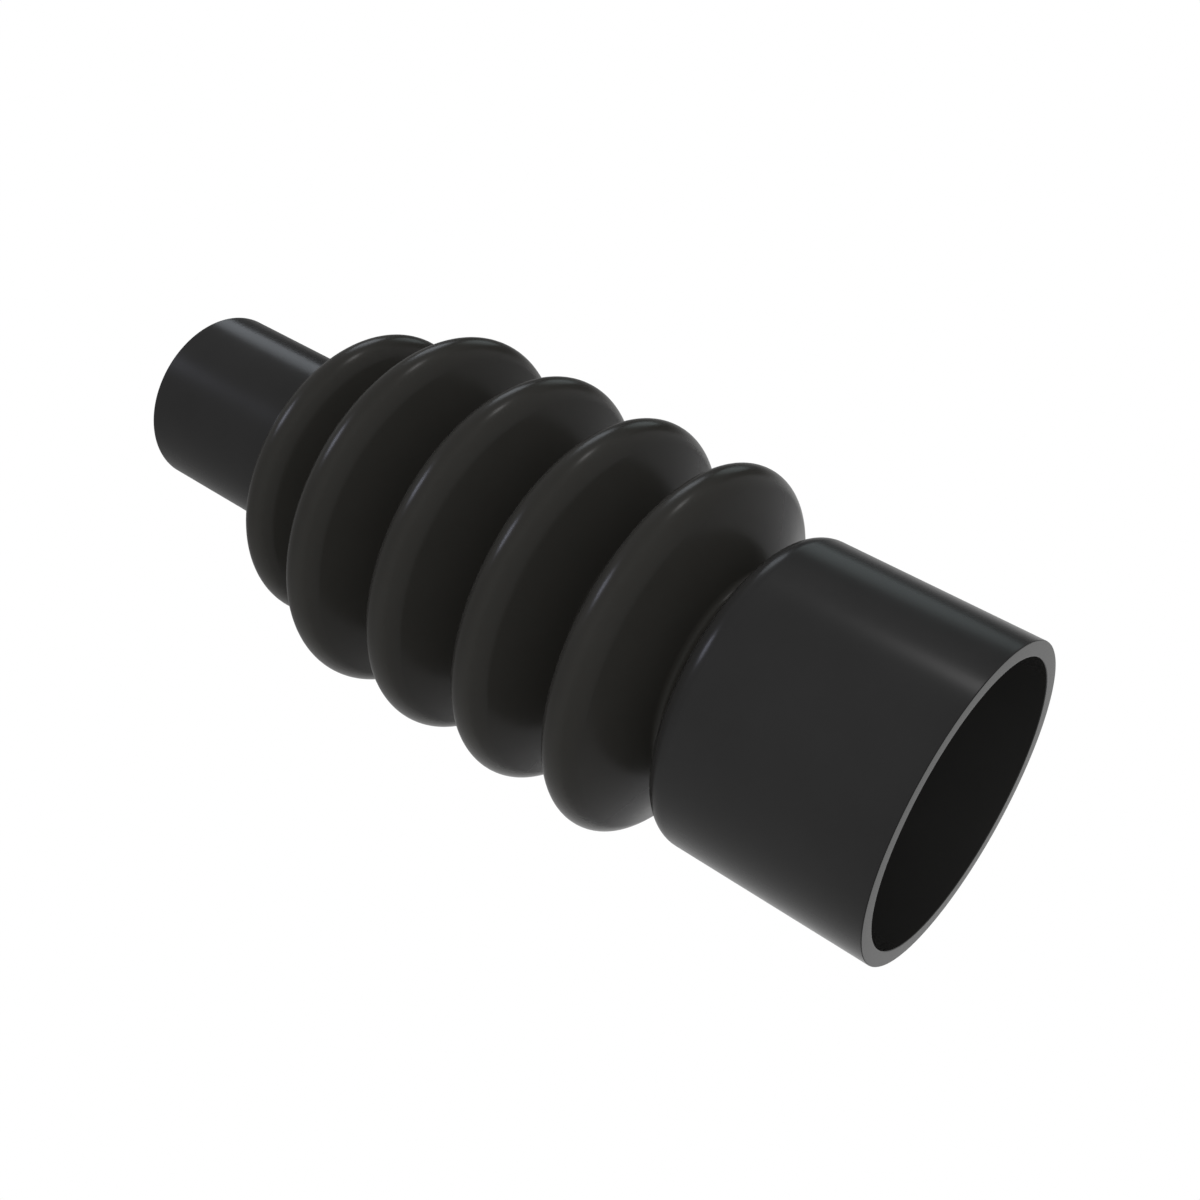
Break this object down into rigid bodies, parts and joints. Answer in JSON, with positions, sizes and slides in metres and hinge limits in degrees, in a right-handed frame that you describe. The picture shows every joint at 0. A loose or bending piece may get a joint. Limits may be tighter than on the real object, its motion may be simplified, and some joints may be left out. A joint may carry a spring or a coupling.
{
  "type": "rubber bellows boot",
  "caption": "Moulded rubber bellows boot with a wide cuff, rounded folds and a narrow cuff, clamped between a housing and a moving rod to keep dirt out and grease in.",
  "frame": {"origin": "centre of the wide cuff's open mouth, in the plane of its end face, on which the boot stands", "axes": "+Z along the boot's axis, from the wide mouth up to the narrow cuff; the boot is round about Z, so X and Y are any two directions across it"},
  "size_m": [0.06, 0.06, 0.15],
  "materials": {
    "black_rubber": "smooth satin black moulded rubber"
  },
  "bodies": {
    "root": {"bellows_boot": "black_rubber"}
  },
  "joints": []
}
